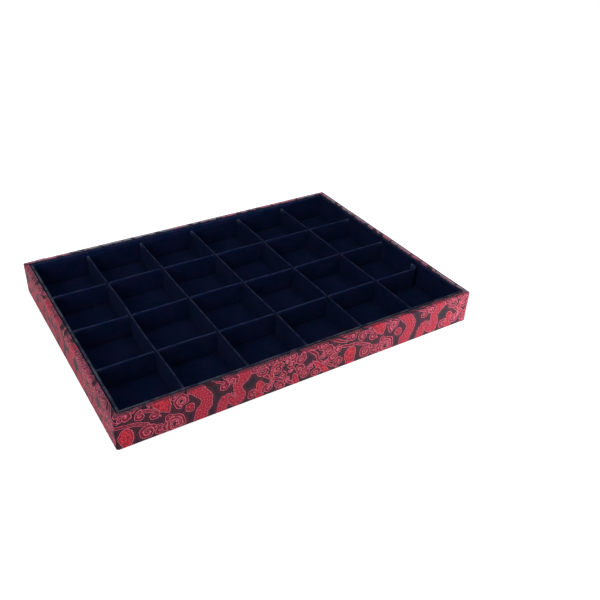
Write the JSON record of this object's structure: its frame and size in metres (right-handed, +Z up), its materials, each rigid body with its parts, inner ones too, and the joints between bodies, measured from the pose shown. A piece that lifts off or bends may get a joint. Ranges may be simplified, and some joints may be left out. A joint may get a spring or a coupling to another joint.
{
  "type": "jewelry display tray",
  "caption": "Shallow open display tray, wrapped in red and black brocade and lined in dark velvet, with a lift-out grid of velvet dividers for small jewelry.",
  "frame": {"origin": "middle of the underside, on the surface that the tray stands on", "axes": "+X along the long side to the right, +Y to the back along the short side, +Z up out of the compartments"},
  "size_m": [0.35, 0.25, 0.032],
  "materials": {
    "brocade": "satin jacquard, red figures on a black ground",
    "velvet": "short cut pile, very dark navy",
    "felt": "pressed black felt",
    "card": "grey board, cut edges",
    "board": "fibreboard, unfinished"
  },
  "bodies": {
    "tray": {"base_board": "board", "front_wall_board": "board", "back_wall_board": "board", "left_wall_board": "board", "right_wall_board": "board", "brocade_cover": "brocade", "bottom_felt": "felt", "floor_card": "card", "floor_velvet": "velvet", "front_liner_card": "card", "back_liner_card": "card", "left_liner_card": "card", "right_liner_card": "card", "front_liner_velvet": "velvet", "back_liner_velvet": "velvet", "left_liner_velvet": "velvet", "right_liner_velvet": "velvet"},
    "divider_grid": {"cross_divider_1_card": "card", "cross_divider_2_card": "card", "cross_divider_3_card": "card", "cross_divider_4_card": "card", "cross_divider_5_card": "card", "long_divider_1_card": "card", "long_divider_2_card": "card", "long_divider_3_card": "card", "cross_divider_1_velvet": "velvet", "cross_divider_2_velvet": "velvet", "cross_divider_3_velvet": "velvet", "cross_divider_4_velvet": "velvet", "cross_divider_5_velvet": "velvet", "long_divider_1_velvet": "velvet", "long_divider_2_velvet": "velvet", "long_divider_3_velvet": "velvet"}
  },
  "joints": [
    {"name": "grid_lift", "type": "slide", "parent": "tray", "child": "divider_grid", "axis": [0, 0, 1], "range_m": [0, 0.035]}
  ]
}
